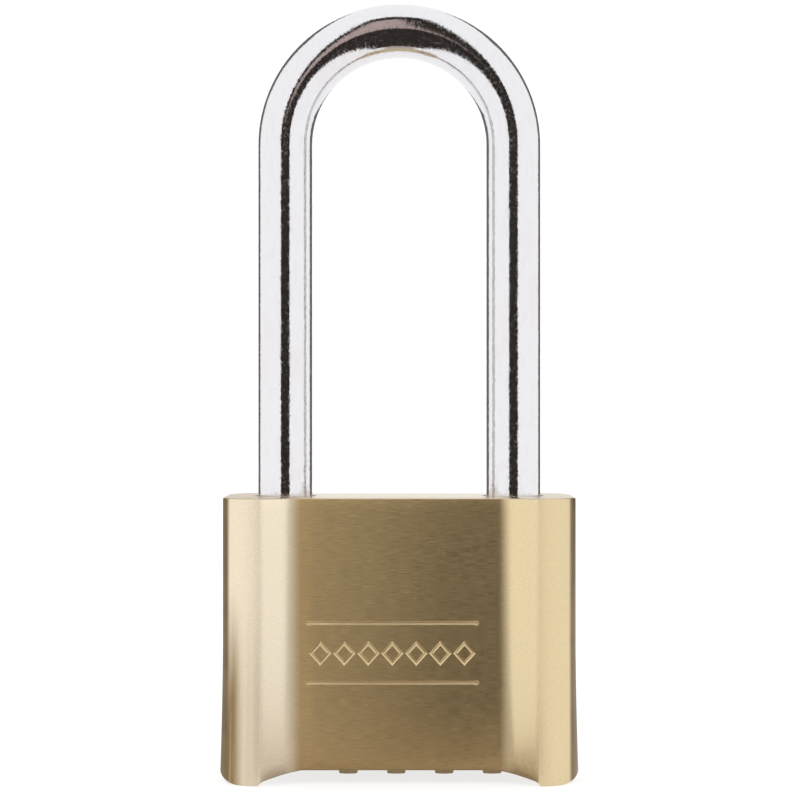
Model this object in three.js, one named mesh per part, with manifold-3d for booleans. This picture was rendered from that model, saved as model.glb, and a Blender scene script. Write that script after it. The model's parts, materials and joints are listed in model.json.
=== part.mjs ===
// A four-dial combination padlock: a solid brass block, a tall round steel shackle, and the lockwork
// between them. Millimetres, +Z up. The origin is at the middle of the block, at the level of the feet
// it stands on. The front looks along -Y. The shackle's long heel leg is on the left, at -X.
import * as THREE from "three";
import { mergeVertices } from "three/addons/utils/BufferGeometryUtils.js";
import Module from "manifold-3d";

const wasm = await Module();
wasm.setup();

const INCH = 25.4;
const DEGREE = Math.PI / 180;

// ---------------------------------------------------------------- driving dimensions

const fit = 0.3; // gap between a cut pocket and what lies in it
const runningGap = 0.15; // gap between a shaft and its hole

const block = { width: 2 * INCH, height: 40.7, topBevel: 0.3 };
const recess = { halfDepth: 10.6, halfWidth: 13.8, fillet: 5 };
const lobe = { radius: 7.6, centreY: 6.2, ridgeX: 19.7, frontY: 14 }; // each side's round outside
const flare = { size: 0.4, height: 20, steps: 8, settledAt: 0.35 }; // the lobes widen towards the feet
const arch = { height: 1.9, halfWidth: 14.3 }; // the block's underside between the feet
const foot = { from: 20.3, to: 22.8, rampTop: 0.55, roundedEnd: [[24.4, 0.45], [25.2, 1], [25.7, 1.8]] };

const rodRadius = (5 / 16) * INCH * 0.5;
const legX = INCH / 2 + rodRadius;
const shackle = { clearance: 64, lift: 11.5, heelTip: 13.4, toeTip: 30.2, tipBevel: 0.7 };
const bendZ = block.height + shackle.clearance - INCH / 2;
const boreRadius = rodRadius + 0.28;
const heelBoreFloor = 4.5;
const toeBoreFloor = 28;

const pin = { radius: 1, from: -4.2 };
const heelPin = { x: -12.75, z: 28.4 };
const neck = {
  radius: 2.7,
  from: heelPin.z - pin.radius - shackle.lift - runningGap,
  to: heelPin.z + pin.radius + 0.4,
};

// The dials stand side by side on one spindle along X.
const axisZ = 7.4;
const dialPitch = 7;
const dialX = [0, 1, 2, 3].map((i) => -7.45 + i * dialPitch);
const dial = { radius: 7.3, halfWidth: 1.35, digits: 10, grooveDepth: 0.4, landHalfAngle: 14 };
const spline = { boreTip: 3, boreRoot: 3.5, hubRoot: 2.8, hubTip: 3.3, boreArc: 22, hubArc: 14 };
const hub = { barrel: 2.7, boss: 2.4, bossEnd: 5.4, flange: 4.3, flangeFrom: 2.9, flangeTo: 3.7 };
const gate = { half: 1.05, floor: 3 }; // the notch in each hub's flange
const spindleRadius = 1.5;

// The comb slides along X; its fins pass the hubs' gates from left to right.
const comb = { from: -9.5, to: 20.8, halfWidth: 1.45, bottom: 15.85, top: 19, travel: 2.5 };
const fin = { from: 1.65, to: 2.55, halfWidth: 0.7, radius: 3.2 };

// The lever's knob drives the comb, its nose holds the toe leg.
const pivot = { x: 10.2, z: 24.6 };
const lever = { halfWidth: 1.5, arm: 6.3, knob: 0.9, boss: 2.2 };
const leverTurn = 2 * Math.asin(comb.travel / 2 / lever.arm);
const nose = { tip: 13.9, bottom: 35, top: 37 };
const notch = { depth: 1.5, top: nose.top + 0.4, bottom: nose.bottom - 0.35 };

const slotHalf = 1.8; // half the width of the lockwork's slot in the block
const leverSlot = { from: 3, to: 13.2, top: 38.3 };
const pocket = { from: -11.5, to: 21.3, halfDepth: 7.7, top: 15.9 };
const tab = { from: 14.6, halfDepth: 3, bottom: 19.5, top: 21.6 }; // the cartridge's threaded tab
const ear = { leftFrom: -11.2, leftTo: -9.7, rightFrom: 19.4, rightTo: 21, halfDepth: 4 };
const plate = { halfDepth: 7.4, top: 3 };
const screw = { radius: 1.15, head: 2.1, headHeight: 1.6, end: 19.9, slotHalf: 0.3, slotDepth: 0.7 };

// ---------------------------------------------------------------- materials

const metal = (color, roughness) => new THREE.MeshStandardMaterial({ color, roughness, metalness: 1 });
const brass = metal(0xcdb184, 0.35);
const chrome = metal(0xe4e4ea, 0.12);
const steel = metal(0x9c9ca0, 0.4);
const springSteel = metal(0x6f7074, 0.35);

// ---------------------------------------------------------------- shape helpers

// A closed geometry as a solid that can be joined and cut.
function solid(geometry) {
  const bare = geometry.clone();
  bare.deleteAttribute("normal");
  bare.deleteAttribute("uv");
  const merged = mergeVertices(bare, 1e-4);
  return new wasm.Manifold(
    new wasm.Mesh({
      numProp: 3,
      vertProperties: new Float32Array(merged.attributes.position.array),
      triVerts: new Uint32Array(merged.index.array),
    }),
  );
}

// The first shape with the others in `join` added to it and those in `cut` taken from it.
function carve(first, join, cut = []) {
  const joined = join.reduce((sum, shape) => sum.add(solid(shape)), solid(first));
  return geometryOf(cut.reduce((rest, shape) => rest.subtract(solid(shape)), joined));
}

function geometryOf(manifold) {
  const { vertProperties, triVerts } = manifold.getMesh();
  const geometry = new THREE.BufferGeometry();
  geometry.setAttribute("position", new THREE.BufferAttribute(vertProperties, 3));
  geometry.setIndex(new THREE.BufferAttribute(triVerts, 1));
  const faceted = geometry.toNonIndexed();
  faceted.computeVertexNormals();
  return faceted;
}

function box([x0, x1], [y0, y1], [z0, z1]) {
  const geometry = new THREE.BoxGeometry(x1 - x0, y1 - y0, z1 - z0);
  return geometry.translate((x0 + x1) / 2, (y0 + y1) / 2, (z0 + z1) / 2);
}

// A round bar along one axis. `centre` holds its place on the other two, in X, Y, Z order.
function rod(axis, radius, [from, to], [a, b], sides = 32, endRadius = radius) {
  const bar = new THREE.CylinderGeometry(endRadius, radius, to - from, sides);
  bar.translate(0, (from + to) / 2, 0);
  if (axis === "x") return bar.rotateZ(-Math.PI / 2).translate(0, a, b);
  if (axis === "y") return bar.translate(a, 0, b);
  return bar.rotateX(Math.PI / 2).translate(a, b, 0);
}

const polygon = (points) => new THREE.Shape(points.map(([x, y]) => new THREE.Vector2(x, y)));

// A flat outline, drawn in the two other axes, drawn out along one axis.
function prism(axis, shape, [from, to], curveSegments = 24) {
  const geometry = new THREE.ExtrudeGeometry(shape, { depth: to - from, bevelEnabled: false, curveSegments });
  geometry.translate(0, 0, from);
  const along = {
    x: [[0, 1, 0], [0, 0, 1], [1, 0, 0]],
    y: [[-1, 0, 0], [0, 0, 1], [0, 1, 0]],
    z: [[1, 0, 0], [0, 1, 0], [0, 0, 1]],
  }[axis].map((v) => new THREE.Vector3(...v));
  return geometry.applyMatrix4(new THREE.Matrix4().makeBasis(...along));
}

// A front-view outline drawn out along Y. Its points are (x, z).
function frontPrism(points, [from, to]) {
  return prism("y", polygon(points.map(([x, z]) => [-x, z]).reverse()), [from, to]);
}

function annulus(outer, inner) {
  const ring = new THREE.Shape().absarc(0, 0, outer, 0, 2 * Math.PI);
  ring.holes.push(new THREE.Path().absarc(0, 0, inner, 0, 2 * Math.PI));
  return ring;
}

const washer = (outer, inner, [from, to]) => prism("x", annulus(outer, inner), [from, to], 20);

const polar = (radius, degrees) => [radius * Math.cos(degrees * DEGREE), radius * Math.sin(degrees * DEGREE)];

class Helix extends THREE.Curve {
  constructor(radius, length, turns) {
    super();
    Object.assign(this, { radius, length, turns });
  }

  getPoint(t, target = new THREE.Vector3()) {
    const angle = 2 * Math.PI * this.turns * t;
    return target.set(this.radius * Math.cos(angle), this.radius * Math.sin(angle), this.length * t);
  }
}

// A coil spring of round wire that stands on z = 0.
function coilSpring(coilRadius, wireRadius, height, turns) {
  const wire = new THREE.Shape().absarc(0, 0, wireRadius, 0, 2 * Math.PI);
  const path = new Helix(coilRadius, height - 2 * wireRadius, turns);
  const spring = new THREE.ExtrudeGeometry(wire, { extrudePath: path, steps: turns * 12, curveSegments: 3 });
  return spring.translate(0, 0, wireRadius);
}

function mesh(name, geometry, material) {
  const piece = new THREE.Mesh(geometry, material);
  piece.name = name;
  return piece;
}

// ---------------------------------------------------------------- the block

// A quarter of the block seen from above: the flat recess, a fillet, a straight slope up to the ridge and
// the round outside.
function quarterOutline() {
  const { halfWidth, halfDepth, fillet } = recess;
  const centreX = block.width / 2 - lobe.radius;
  const ridgeAngle = Math.acos((lobe.ridgeX - centreX) / lobe.radius);
  const rise = lobe.centreY + lobe.radius * Math.sin(ridgeAngle) - (halfDepth + fillet);
  const run = lobe.ridgeX - halfWidth;
  const slope = Math.atan2(rise, run) + Math.asin(fillet / Math.hypot(rise, run));
  const quarter = new THREE.Path();
  quarter.moveTo(0, halfDepth);
  quarter.lineTo(halfWidth, halfDepth);
  quarter.absarc(halfWidth, halfDepth + fillet, fillet, -Math.PI / 2, slope - Math.PI / 2, false);
  quarter.absarc(centreX, lobe.centreY, lobe.radius, ridgeAngle, 0, true);
  return quarter.getPoints(6).map(({ x, y }) => [x, y]);
}

function blockOutline() {
  const quarter = quarterOutline();
  const half = [...quarter, ...quarter.map(([x, y]) => [x, -y]).reverse()];
  const whole = [...half, ...half.slice(1, -1).map(([x, y]) => [-x, y]).reverse()];
  return polygon(whole.reverse());
}

// Pushes what lies outside the ridges outwards, more and more towards the feet.
function flareLobes(geometry) {
  const position = geometry.attributes.position;
  for (let i = 0; i < position.count; i++) {
    const [x, y, z] = [position.getX(i), position.getY(i), position.getZ(i)];
    const outside = Math.max(0, (Math.abs(x) - lobe.ridgeX) / (block.width / 2 - lobe.ridgeX));
    const settled = Math.min(1, outside / flare.settledAt) * Math.min(1, Math.abs(y) / (2 * lobe.centreY));
    const push = flare.size * Math.max(0, 1 - z / flare.height) ** 1.5;
    position.setX(i, x + Math.sign(x) * push * outside);
    position.setY(i, y + Math.sign(y) * push * settled);
  }
  return geometry;
}

// The block before its holes: all but one of its layers lie in the flared part.
function blockBlank() {
  const bevel = block.topBevel;
  const outer = new THREE.ExtrudeGeometry(blockOutline(), {
    depth: block.height - bevel,
    steps: flare.steps + 1,
    bevelSize: bevel,
    bevelThickness: bevel,
    bevelOffset: -bevel,
    bevelSegments: 1,
  });
  const layer = (block.height - bevel) / (flare.steps + 1);
  const flaredLayer = flare.height / flare.steps;
  const position = outer.attributes.position;
  for (let i = 0; i < position.count; i++) {
    const level = position.getZ(i) / layer;
    if (level > -0.001 && level < flare.steps + 0.5) position.setZ(i, level * flaredLayer);
  }
  return flareLobes(outer);
}

// What the block keeps, seen from the front: a low arch between two feet with rounded outer ends.
function feetOutline() {
  const side = block.width / 2 + 2;
  const right = [
    [arch.halfWidth, arch.height],
    [lobe.ridgeX - 0.1, foot.rampTop],
    [lobe.ridgeX + 0.1, 0.1],
    [foot.from, 0],
    [foot.to, 0],
    ...foot.roundedEnd,
    [side, 3.4],
    [side, block.height + 2],
  ];
  return [...right, ...right.map(([x, z]) => [-x, z]).reverse()];
}

// The lever's pin and the heel pin are pressed in from the back and end in the front wall.
const pinHole = ({ x, z }) => rod("y", pin.radius + 0.1, [pin.from - fit, recess.halfDepth + 1], [x, z], 24);
const pressedPin = () => rod("y", pin.radius, [pin.from, recess.halfDepth - 0.1], [0, 0], 20);

function blockBody() {
  const depth = [-lobe.frontY - 2, lobe.frontY + 2];
  const below = -1;
  const blank = solid(blockBlank()).intersect(solid(frontPrism(feetOutline(), depth)));
  const holes = [
    rod("z", boreRadius, [heelBoreFloor, block.height + 1], [-legX, 0]),
    rod("z", boreRadius, [toeBoreFloor, block.height + 1], [legX, 0]),
    box([pocket.from, pocket.to], [-pocket.halfDepth, pocket.halfDepth], [below, pocket.top]),
    box([tab.from - fit, pocket.to], [-tab.halfDepth - fit, tab.halfDepth + fit], [below, tab.top + fit]),
    box([comb.from - 0.4, comb.to + comb.travel + 0.4], [-slotHalf, slotHalf], [axisZ, comb.top + 0.4]),
    box([leverSlot.from, leverSlot.to], [-slotHalf, slotHalf], [axisZ, leverSlot.top]),
    rod("z", screw.radius + 0.25, [tab.top, toeBoreFloor + 1], [legX, 0], 24),
    pinHole(pivot),
    pinHole(heelPin),
  ];
  return geometryOf(holes.reduce((rest, hole) => rest.subtract(solid(hole)), blank));
}

// ---------------------------------------------------------------- the shackle

class Arch extends THREE.Curve {
  getPoint(t, target = new THREE.Vector3()) {
    return target.set(legX * Math.cos(Math.PI * t), 0, legX * Math.sin(Math.PI * t));
  }
}

// The notch's lower flank slopes as the nose leaves it: the lever turns while the leg rises.
function notchOutline() {
  const turnPerLift = leverTurn / shackle.lift;
  const inwards = (nose.bottom - pivot.z) * turnPerLift;
  const downwards = 1 - (nose.tip - pivot.x) * turnPerLift;
  const slope = downwards / inwards;
  const floor = legX - rodRadius + notch.depth;
  const outside = notch.depth + 1;
  return [
    [floor, notch.top],
    [floor - outside, notch.top],
    [floor - outside, notch.bottom - outside * slope],
    [floor, notch.bottom],
  ];
}

function shackleRod() {
  const section = new THREE.Shape().absarc(0, 0, rodRadius, 0, 2 * Math.PI);
  const bend = new THREE.ExtrudeGeometry(section, { extrudePath: new Arch(), steps: 24, curveSegments: 16 });
  bend.translate(0, 0, bendZ);
  const { heelTip, toeTip, tipBevel } = shackle;
  const heel = [-legX, 0];
  const toe = [legX, 0];
  const tip = (from, centre) =>
    rod("z", rodRadius - tipBevel, [from, from + tipBevel], centre, 32, rodRadius);
  const overlap = 0.05;
  return carve(
    bend,
    [
      rod("z", rodRadius, [neck.to, bendZ + overlap], heel),
      rod("z", neck.radius, [neck.from - overlap, neck.to + overlap], heel),
      rod("z", rodRadius, [heelTip + tipBevel, neck.from], heel),
      tip(heelTip, heel),
      rod("z", rodRadius, [toeTip + tipBevel, bendZ + overlap], toe),
      tip(toeTip, toe),
    ],
    [frontPrism(notchOutline(), [-rodRadius - 1, rodRadius + 1])],
  );
}

// ---------------------------------------------------------------- the dials, around their own centre

// An outline with ten teeth: `outer` over `arc` degrees of each, `inner` between them.
function toothed(inner, outer, arc) {
  const step = 360 / dial.digits;
  const points = [];
  for (let k = 0; k < dial.digits; k++) {
    const middle = k * step - 90;
    points.push(polar(outer, middle - arc / 2), polar(outer, middle), polar(outer, middle + arc / 2));
    points.push(polar(inner, middle + arc / 2), polar(inner, middle + step / 2));
    points.push(polar(inner, middle + step - arc / 2));
  }
  return points;
}

// The rim: ten lands for the digits, with a round finger groove between each two.
function dialRing() {
  const step = 360 / dial.digits;
  const points = [];
  for (let k = 0; k < dial.digits; k++) {
    const middle = k * step - 90;
    for (const turn of [-1, -0.33, 0.33, 1]) {
      points.push(polar(dial.radius, middle + turn * dial.landHalfAngle));
    }
    for (const [turn, share] of [[0.43, 0.8], [0.5, 1], [0.57, 0.8]]) {
      points.push(polar(dial.radius - share * dial.grooveDepth, middle + turn * step));
    }
  }
  const ring = polygon(points);
  ring.holes.push(polygon(toothed(spline.boreTip, spline.boreRoot, spline.boreArc)));
  return prism("x", ring, [-dial.halfWidth, dial.halfWidth]);
}

// The hub's teeth sit in the dial's bore. Its flange has one gate, which is up when the right digit is down.
function dialHub(bossEnd) {
  const along = (radius, from, to, sides = 24) => rod("x", radius, [from, to], [0, 0], sides);
  const teeth = polygon(toothed(spline.hubRoot, spline.hubTip, spline.hubArc));
  return carve(
    prism("x", teeth, [-dial.halfWidth, dial.halfWidth]),
    [
      along(hub.barrel, 0, hub.flangeFrom + 0.1),
      along(hub.flange, hub.flangeFrom, hub.flangeTo, 40),
      along(hub.boss, hub.flangeFrom, bossEnd),
    ],
    [
      along(spindleRadius + runningGap, -dial.halfWidth - 1, hub.bossEnd + 1),
      box([hub.flangeFrom - 0.1, hub.flangeTo + 0.1], [-gate.half, gate.half], [gate.floor, hub.flange + 1]),
    ],
  );
}

// ---------------------------------------------------------------- the cartridge, around the spindle's axis

const clip = { from: 18.6, to: 19.2, outer: 2.9, inner: 1.3, mouthHalf: 0.9 };
const wave = { outer: 2.8, inner: 1.75, thickness: 0.25, height: 0.28, count: 3 };
const endWasher = { outer: 3.2, inner: 1.7, from: ear.leftTo + 0.2, to: ear.leftTo + 0.7 };

function spindleBar() {
  const grooveWidth = [clip.from - runningGap, clip.to + runningGap];
  const groove = washer(spindleRadius + 1, clip.inner - runningGap, grooveWidth);
  return carve(rod("x", spindleRadius, [ear.leftFrom + 0.1, ear.rightTo - 0.1], [0, 0], 24), [], [groove]);
}

function spindleClip() {
  const mouth = box([clip.from - 1, clip.to + 1], [-clip.mouthHalf, clip.mouthHalf], [-clip.outer - 1, 0]);
  return carve(washer(clip.outer, clip.inner, [clip.from, clip.to]), [], [mouth]);
}

// A thin ring with three waves round it, between the last hub and the right ear.
function waveWasher() {
  const middle = dialX[3] + hub.flangeTo + 0.7;
  const ring = washer(wave.outer, wave.inner, [middle - wave.thickness / 2, middle + wave.thickness / 2]);
  const position = ring.attributes.position;
  for (let i = 0; i < position.count; i++) {
    const angle = Math.atan2(position.getZ(i), position.getY(i));
    position.setX(i, position.getX(i) + wave.height * Math.cos(wave.count * angle));
  }
  return ring;
}

function wheelFrame() {
  const z = (height) => height - axisZ;
  const slotHalfWidth = dial.halfWidth + fit;
  const slotReach = Math.sqrt(dial.radius ** 2 - z(plate.top) ** 2) + fit;
  const slotDepth = [-slotReach, slotReach];
  const full = [-plate.halfDepth, plate.halfDepth];
  const earDepth = [-ear.halfDepth, ear.halfDepth];
  const tabDepth = [-tab.halfDepth, tab.halfDepth];
  const shelf = { to: dialX[0] + dial.halfWidth - 0.25, bottom: 15.15, top: comb.bottom - runningGap };
  const window = [-comb.halfWidth - fit, comb.halfWidth + fit];
  const spindleHole = rod("x", spindleRadius + runningGap, [ear.leftFrom - 1, ear.rightTo + 1], [0, 0], 24);
  return carve(
    box([ear.leftFrom, ear.rightTo], full, [z(arch.height), z(plate.top)]),
    [
      box([ear.leftFrom, ear.leftTo], earDepth, [z(arch.height), z(shelf.top)]),
      box([ear.leftFrom, shelf.to], window, [z(shelf.bottom), z(shelf.top)]),
      box([ear.rightFrom, ear.rightTo], earDepth, [z(arch.height), z(pocket.top) - fit]),
      box([ear.rightFrom, ear.rightTo], tabDepth, [z(arch.height), z(tab.top)]),
      box([tab.from, ear.rightTo], tabDepth, [z(tab.bottom), z(tab.top)]),
    ],
    [
      ...dialX.map((x) => box([x - slotHalfWidth, x + slotHalfWidth], slotDepth, [z(0), z(plate.top) + 0.1])),
      box([ear.rightFrom - 1, ear.rightTo + 1], window, [z(shelf.top), z(comb.top) + fit]),
      spindleHole,
      rod("z", screw.radius + runningGap, [z(tab.bottom) - 1, z(tab.top) + 1], [legX, 0], 24),
    ],
  );
}

// A leaf spring at the back of the dials, with one finger for each.
function detentSpring() {
  const z = (height) => height - axisZ;
  const leaf = [[5, 15.3], [7.15, 15.3], [7.15, 15.55], [5, 15.55]];
  const inside = [[7.15, 15.3], [7.15, 12.2], [6.75, 11.1]];
  const outside = [[6.95, 10.95], [7.4, 12.1], [7.4, 15.55], [7, 15.55]];
  const finger = [...inside, ...outside].reverse();
  const outline = (points) => polygon(points.map(([y, height]) => [y, z(height)]));
  const strip = prism("x", outline(leaf), [dialX[0] - 1.2, dialX[3] + 1.2]);
  return carve(strip, dialX.map((x) => prism("x", outline(finger), [x - 1, x + 1])));
}

// ---------------------------------------------------------------- the locking parts

function combBar() {
  const knobX = pivot.x - comb.travel / 2;
  const notchHalf = lever.knob + runningGap;
  const fins = dialX.map((x) =>
    box([x + fin.from, x + fin.to], [-fin.halfWidth, fin.halfWidth], [axisZ + fin.radius, comb.bottom + 0.5]),
  );
  const notchFloor = pivot.z - lever.arm - lever.knob - 0.2;
  const through = [-comb.halfWidth - 1, comb.halfWidth + 1];
  const knobNotch = box([knobX - notchHalf, knobX + notchHalf], through, [notchFloor, comb.top + 1]);
  return carve(
    box([comb.from, comb.to], [-comb.halfWidth, comb.halfWidth], [comb.bottom, comb.top]),
    fins,
    [knobNotch],
  );
}

// The lever around its pivot, at rest: knob down and to the left, nose up and to the right.
function lockingLever() {
  const across = [-lever.halfWidth, lever.halfWidth];
  const knobX = -comb.travel / 2;
  const knobZ = -lever.arm * Math.cos(leverTurn / 2);
  const tip = nose.tip - pivot.x;
  const [low, high] = [nose.bottom - pivot.z, nose.top - pivot.z];
  const noseOutline = [[1.9, low - 1], [tip, low], [tip, high], [-0.6, high], [-0.8, high - 1.4]];
  const upperArm = [[-1.8, 0.5], [2, 0.5], ...noseOutline];
  const lowerArm = [[knobX - 0.55, knobZ], [knobX + 0.55, knobZ], [1, -1.4], [-1.2, -1.4]];
  const knob = rod("y", lever.knob, across, [knobX, knobZ], 20);
  return carve(
    rod("y", lever.boss, across, [0, 0], 28),
    [frontPrism(upperArm, across), frontPrism(lowerArm, across), knob],
    [rod("y", pin.radius + runningGap, [-3, 3], [0, 0], 24)],
  );
}

function retainingScrew() {
  const seat = toeBoreFloor + 0.1;
  const top = seat + screw.headHeight;
  const slot = box(
    [-screw.head - 1, screw.head + 1],
    [-screw.slotHalf, screw.slotHalf],
    [top - screw.slotDepth, top + 1],
  );
  return carve(
    rod("z", screw.radius, [screw.end, seat + 0.1], [0, 0], 20),
    [rod("z", screw.head, [seat, top], [0, 0], 28)],
    [slot],
  );
}

// ---------------------------------------------------------------- the assembly

const padlock = new THREE.Group();
padlock.add(mesh("body", blockBody(), brass), mesh("shackle", shackleRod(), chrome));

function place(piece, x, y, z) {
  piece.position.set(x, y, z);
  padlock.add(piece);
  return piece;
}

const heelSpring = { coil: 2.9, wire: 0.5, height: shackle.heelTip - heelBoreFloor - 0.4, turns: 6 };
const noseSpring = { coil: 1.1, wire: 0.2, height: 5.2, turns: 5 };
const springPiece = (name, { coil, wire, height, turns }) =>
  mesh(name, coilSpring(coil, wire, height, turns), springSteel);

place(springPiece("shackle_spring", heelSpring), -legX, 0, heelBoreFloor + 0.2);
place(mesh("heel_pin", pressedPin(), steel), heelPin.x, 0, heelPin.z);
place(mesh("lever_pin", pressedPin(), steel), pivot.x, 0, pivot.z);
place(mesh("locking_lever", lockingLever(), steel), pivot.x, 0, pivot.z);
place(mesh("retaining_screw", retainingScrew(), steel), legX, 0, 0);
padlock.add(mesh("comb_bar", combBar(), steel));
const leverSpring = place(springPiece("lever_spring", noseSpring), leverSlot.from + 0.2, 0, pivot.z + 3.6);
leverSpring.rotation.y = Math.PI / 2;

const cartridge = new THREE.Group();
cartridge.position.z = axisZ;
padlock.add(cartridge);
cartridge.add(
  mesh("wheel_frame", wheelFrame(), brass),
  mesh("spindle", spindleBar(), steel),
  mesh("spindle_clip", spindleClip(), springSteel),
  mesh("end_washer", washer(endWasher.outer, endWasher.inner, [endWasher.from, endWasher.to]), steel),
  mesh("wave_washer", waveWasher(), springSteel),
  mesh("detent_spring", detentSpring(), springSteel),
);

dialX.forEach((x, i) => {
  const wheel = new THREE.Group();
  wheel.position.x = x;
  const last = i === dialX.length - 1;
  wheel.add(
    mesh(`dial_${i + 1}`, dialRing(), brass),
    mesh(`hub_${i + 1}`, dialHub(last ? hub.flangeTo : hub.bossEnd), steel),
  );
  cartridge.add(wheel);
});

export default padlock;
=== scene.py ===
"""The looks of a four-dial brass combination padlock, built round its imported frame.

Metres, +Z up. The front looks along -Y, and the long heel leg is on the left, at -X.
"""

import json
import math

import bmesh
import bpy
from mathutils import Matrix, Vector


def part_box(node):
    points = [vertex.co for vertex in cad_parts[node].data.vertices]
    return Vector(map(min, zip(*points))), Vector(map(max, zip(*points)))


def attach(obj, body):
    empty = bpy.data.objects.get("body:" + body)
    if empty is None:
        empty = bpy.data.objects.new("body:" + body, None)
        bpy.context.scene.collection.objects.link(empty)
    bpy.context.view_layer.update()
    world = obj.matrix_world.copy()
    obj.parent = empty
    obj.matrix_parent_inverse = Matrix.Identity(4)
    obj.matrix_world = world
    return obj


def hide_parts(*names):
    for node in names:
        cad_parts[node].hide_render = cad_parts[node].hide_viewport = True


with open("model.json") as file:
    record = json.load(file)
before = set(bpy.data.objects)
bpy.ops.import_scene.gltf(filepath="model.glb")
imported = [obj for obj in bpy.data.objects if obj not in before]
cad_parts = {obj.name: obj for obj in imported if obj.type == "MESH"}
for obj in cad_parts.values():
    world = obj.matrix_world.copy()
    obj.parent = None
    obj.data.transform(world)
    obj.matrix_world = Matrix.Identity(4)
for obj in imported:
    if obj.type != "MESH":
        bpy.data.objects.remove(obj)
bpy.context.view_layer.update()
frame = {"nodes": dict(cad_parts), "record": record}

MM = 0.001

# ---------------------------------------------------------------- sizes, from the frame where it holds them

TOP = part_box("body")[1].z
shackle_low, shackle_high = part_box("shackle")
HEEL_TIP = shackle_low.z
ROD = (shackle_high.y - shackle_low.y) / 2  # the rod's radius
LEG_X = shackle_high.x - ROD
BEND_Z = shackle_high.z - ROD - LEG_X
DIAL_BOXES = [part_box(f"dial_{i}") for i in (1, 2, 3, 4)]
AXIS_Z = sum(corner.z for corner in DIAL_BOXES[0]) / 2
DIAL_X = [(low.x + high.x) / 2 for low, high in DIAL_BOXES]
DIAL_HALF = (DIAL_BOXES[0][1].x - DIAL_BOXES[0][0].x) / 2

# The block's plan, one quarter of it: the recess, a fillet and slope up to the ridge, and the round outside.
SIDE_X = 25.4 * MM
RECESS = (13.8 * MM, 10.6 * MM)  # half its width, and its depth from the block's middle
FILLET = 5.0 * MM  # between the recess and the slope up to the ridge
LOBE_RADIUS = 7.6 * MM
LOBE_Y = 6.2 * MM
RIDGE_X = 19.7 * MM

# The block's height: the lobes widen towards two feet, and the underside arches between them.
FLARE = 0.4 * MM
FLARE_HEIGHT = 20 * MM
FLARE_SETTLED = 0.35  # share of the lobe's width over which the flare sets in
ARCH_Z = 1.9 * MM
RAMP_END = 0.55 * MM  # height at which the underside's ramp meets the foot
RAMP_BOW = 0.25  # how far the ramp bows from straight
FOOT_OUTER = 22.8 * MM
FOOT_ROUND = 1.8 * MM  # the foot's rounded outer end
FOOT_ROUNDNESS = 0.92
EDGE = 0.25 * MM  # radius of the block's worn edges


# ---------------------------------------------------------------- mesh helpers


def add_object(name, mesh):
    piece = bpy.data.objects.new(name, mesh)
    bpy.context.scene.collection.objects.link(piece)
    return piece


def mesh_from(name, vertices, faces):
    mesh = bpy.data.meshes.new(name)
    mesh.from_pydata([tuple(v) for v in vertices], [], faces)
    mesh.validate()
    made = bmesh.new()
    made.from_mesh(mesh)
    bmesh.ops.recalc_face_normals(made, faces=made.faces)
    made.to_mesh(mesh)
    made.free()
    return add_object(name, mesh)


def loft(name, rings, closed_ends=True):
    """A skin over rings of equally many points, each ring closed on itself."""
    count = len(rings[0])
    vertices = [point for ring in rings for point in ring]
    faces = []
    for level in range(len(rings) - 1):
        for i in range(count):
            j = (i + 1) % count
            a, b = level * count, (level + 1) * count
            faces.append((a + i, a + j, b + j, b + i))
    if closed_ends:
        faces.append(tuple(reversed(range(count))))
        faces.append(tuple(range(len(vertices) - count, len(vertices))))
    return mesh_from(name, vertices, faces)


def closed_loft(name, rings):
    """A skin over rings whose last ring joins the first."""
    piece = loft(name, [*rings, rings[0]], closed_ends=False)
    joined = bmesh.new()
    joined.from_mesh(piece.data)
    bmesh.ops.remove_doubles(joined, verts=joined.verts, dist=1e-7)
    bmesh.ops.recalc_face_normals(joined, faces=joined.faces)
    joined.to_mesh(piece.data)
    joined.free()
    return piece


def shade(piece, degrees):
    """Smooth shading, broken at edges sharper than the given angle."""
    piece.data.shade_smooth()
    piece.data.set_sharp_from_angle(angle=math.radians(degrees))


def apply_modifiers(piece):
    bpy.context.view_layer.update()
    shape = piece.evaluated_get(bpy.context.evaluated_depsgraph_get())
    old = piece.data
    piece.data = bpy.data.meshes.new_from_object(shape)
    piece.modifiers.clear()
    bpy.data.meshes.remove(old)


def cut(piece, cutters):
    """Takes the cutters from the piece, one by one, and deletes them."""
    for cutter in cutters:
        step = piece.modifiers.new("cut", "BOOLEAN")
        step.operation = "DIFFERENCE"
        step.solver = "EXACT"
        step.object = cutter
        apply_modifiers(piece)
        bpy.data.objects.remove(cutter)


def box_piece(name, x, y, z):
    """A box from its (low, high) pairs along the three axes."""
    corners = [(x[i], y[j], z[k]) for i in (0, 1) for j in (0, 1) for k in (0, 1)]
    faces = [(0, 1, 3, 2), (4, 6, 7, 5), (0, 4, 5, 1), (2, 3, 7, 6), (0, 2, 6, 4), (1, 5, 7, 3)]
    return mesh_from(name, corners, faces)


def full_turn(sides):
    return [2 * math.pi * i / sides for i in range(sides)]


def turned(name, profile, matrix, sides=96):
    """A round solid from (radius, height) pairs, turned about its own Z and placed by matrix."""
    rings = []
    for radius, height in profile:
        ring = [Vector((radius * math.cos(a), radius * math.sin(a), height)) for a in full_turn(sides)]
        rings.append([matrix @ point for point in ring])
    return loft(name, rings)


# ---------------------------------------------------------------- materials


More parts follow.
